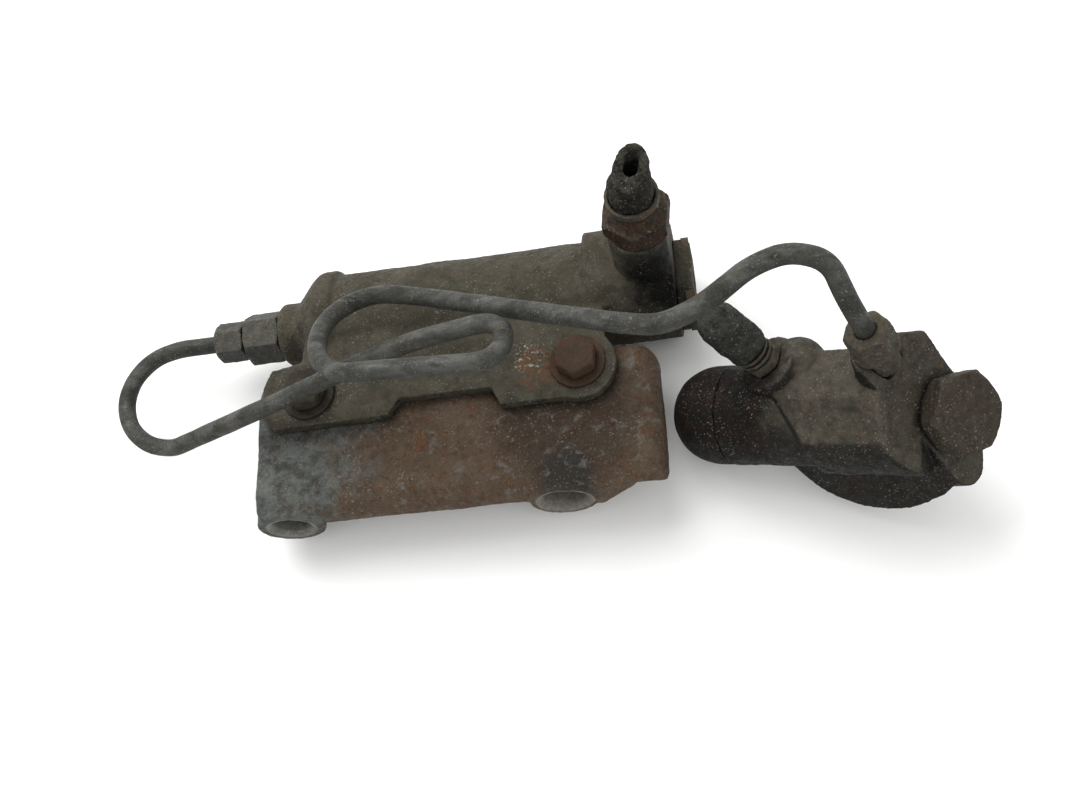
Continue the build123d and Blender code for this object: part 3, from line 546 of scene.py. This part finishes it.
# ---------------------------------------------------------------- build
# The last argument is where the painted shadow by the inlet fitting falls.
olive = olive_material("feed_iron", middle("inlet_adapter") + Vector((0.006, -0.021, -0.02)))
bracket_relief = [(14, 0.5, 3.0), (2.2, 0.16, 8.0)]
weathered_copy("mounting_bracket", "bracket_casting", bracket_material(), 0.65, 7, bracket_relief)
feed_bore = away_from_line(middle("feed_piston"), (1, 0, 0), 11 * MM)
feed_relief = [(12, 0.4, 5.0), (2.0, 0.14, 9.0)]
weathered_copy("feed_cylinder_body", "feed_casting", olive, 0.7, 5, feed_relief, feed_bore)
weathered_copy("end_plate", "end_plate_casting", olive, 0.4, 4, [(6, 0.2, 1.0)])
slave = slave_material()
slave_line = joints["slave_piston_slide"]["axis"]
slave_bore = away_from_line(middle("slave_piston_seal"), slave_line, 14 * MM)
weathered_copy("slave_body", "slave_casting", slave, 0.5, 10, [(9, 0.4, 2.0), (1.8, 0.14, 6.0)], slave_bore)
weathered_copy("slave_boot", "slave_boot_skin", slave, 0.5, 3, [(7, 0.2, 4.0)])
bolts = bolt_material()
weathered_copy("flange_bolts", "rusty_bolt_pair", bolts, 0.3, 3, [(3, 0.25, 2.0), (0.9, 0.12, 6.0)])
weathered_copy("flange_washers", "rusty_washers", bolts, 0.3, 2, [(3, 0.2, 3.0)])
repaint("end_plate_screws", bolts)

grey_fitting = fitting_material("grey_fitting", srgb(92, 94, 89), srgb(76, 77, 72), 0.15)
khaki_fitting = fitting_material("khaki_fitting", srgb(88, 84, 72), srgb(70, 66, 55), 0.25, srgb(104, 78, 62))
rust_fitting = fitting_material("rust_fitting", srgb(62, 50, 40), srgb(44, 36, 28), 0.4, DEEP_RUST, 0.3)
plug_rust = srgb(66, 48, 38)
plug_fitting = fitting_material("plug_fitting", srgb(68, 62, 50), srgb(60, 54, 44), 0.25, plug_rust, 0.2)
small = [(2.5, 0.18, 1.0), (0.8, 0.07, 5.0)]
for node, name, material in (
    ("outlet_adapter", "outlet_hex", grey_fitting),
    ("outlet_tube_nut", "outlet_nut", grey_fitting),
    ("slave_tube_nut", "slave_nut", khaki_fitting),
    ("bleed_screw", "bleeder", khaki_fitting),
    ("inlet_adapter", "inlet_hex", rust_fitting),
    ("inlet_seal_washer", "inlet_washer", rust_fitting),
    ("hose_ferrule", "ferrule", khaki_fitting),
    ("end_plug", "plug_hex", plug_fitting),
    ("plug_seal_ring", "plug_ring", plug_fitting),
):
    weathered_copy(node, name, material, 0.3, 3, small)

hose = rubber_material("hose_rubber", RUBBER, srgb(98, 96, 84), 0.7)
weathered_copy("feed_hose_stub", "torn_hose", hose, 0.35, 3, [(4, 0.7, 1.0), (1.0, 0.25, 3.0)])
cap = rubber_material("cap_rubber", srgb(52, 53, 50), srgb(86, 86, 80), 0.8)
weathered_copy("bleed_cap", "dusty_cap", cap, 0.35, 3, [(5, 0.5, 2.0), (1.2, 0.15, 3.0)])

weathered_copy("pressure_pipe", "formed_pipe", pipe_material(), 0.5, 3, [(9, 0.18, 1.0)])

alloy = inner_material("piston_alloy", srgb(168, 166, 160), 0.9, (0.25, 0.45))
spring = inner_material("spring_steel", srgb(140, 138, 132), 0.9, (0.3, 0.5))
seal = inner_material("seal_rubber", srgb(22, 21, 20), 0.0, (0.5, 0.7))
for node in ("feed_piston", "slave_piston"):
    repaint(node, alloy)
for node in ("feed_return_spring", "slave_spring", "feed_spring_seat", "feed_stop_washer", "feed_circlip"):
    repaint(node, spring)
for node in ("feed_primary_cup", "feed_secondary_seal", "slave_piston_seal", "slave_cup_seal"):
    repaint(node, seal)


# ---------------------------------------------------------------- floor, light and camera
def floor():
    """A plain pale floor under the feet."""
    size = 6.0
    low = cad_box[0].z
    mesh = bpy.data.meshes.new("floor")
    corners = [(-size, -size, low), (size, -size, low), (size, size, low), (-size, size, low)]
    mesh.from_pydata(corners, [], [(0, 1, 2, 3)])
    piece = bpy.data.objects.new("floor", mesh)
    bpy.context.scene.collection.objects.link(piece)
    s = Shader("floor_paint")
    s.put(s.surface.inputs["Base Color"], s.mix(s.noise(300, 3.0), srgb(247, 247, 246), srgb(243, 243, 242)))
    s.surface.inputs["Roughness"].default_value = 0.9
    mesh.materials.append(s.material)


def lights():
    """Even white surroundings and two large soft lights, the stronger one from the back left."""
    world = bpy.data.worlds.new("studio")
    world.use_nodes = True
    world.node_tree.nodes["Background"].inputs["Color"].default_value = (1.0, 1.0, 1.0, 1.0)
    world.node_tree.nodes["Background"].inputs["Strength"].default_value = 0.8
    bpy.context.scene.world = world
    for name, place, size, power in (
        ("main_light", (-0.35, 0.55, 0.85), 0.9, 12.0),
        ("fill_light", (0.7, -0.6, 0.7), 0.9, 3.0),
    ):
        light = bpy.data.lights.new(name, "AREA")
        light.size = size
        light.energy = power
        lamp = bpy.data.objects.new(name, light)
        lamp.location = place
        lamp.rotation_euler = (-Vector(place)).to_track_quat("-Z", "Y").to_euler()
        bpy.context.scene.collection.objects.link(lamp)


CAMERA_TURN, CAMERA_RISE, CAMERA_ROLL = 21.3, 63.4, -25.8  # degrees
CAMERA_DISTANCE = 0.428
CAMERA_PAN = (0.010, -0.015)  # right and up, from the middle of the CAD box
CAMERA_LENS_MM = 43.9


def camera():
    """Looks down on the set, rolled so that the set slants up to the right."""
    lens = bpy.data.cameras.new("camera")
    lens.lens = CAMERA_LENS_MM
    lens.sensor_width = 36.0
    lens.clip_start = 0.01
    eye = bpy.data.objects.new("camera", lens)
    turn = Matrix.Rotation(math.radians(CAMERA_TURN), 4, "Z")
    tilt = Matrix.Rotation(math.radians(90 - CAMERA_RISE), 4, "X")
    roll = Matrix.Rotation(math.radians(CAMERA_ROLL), 4, "Z")
    pan = Matrix.Translation((*CAMERA_PAN, CAMERA_DISTANCE))
    target = (cad_box[0] + cad_box[1]) / 2
    eye.matrix_world = Matrix.Translation(target) @ turn @ tilt @ roll @ pan
    bpy.context.scene.collection.objects.link(eye)
    bpy.context.scene.camera = eye


floor()
lights()
camera()
bpy.context.scene.view_settings.view_transform = "Standard"
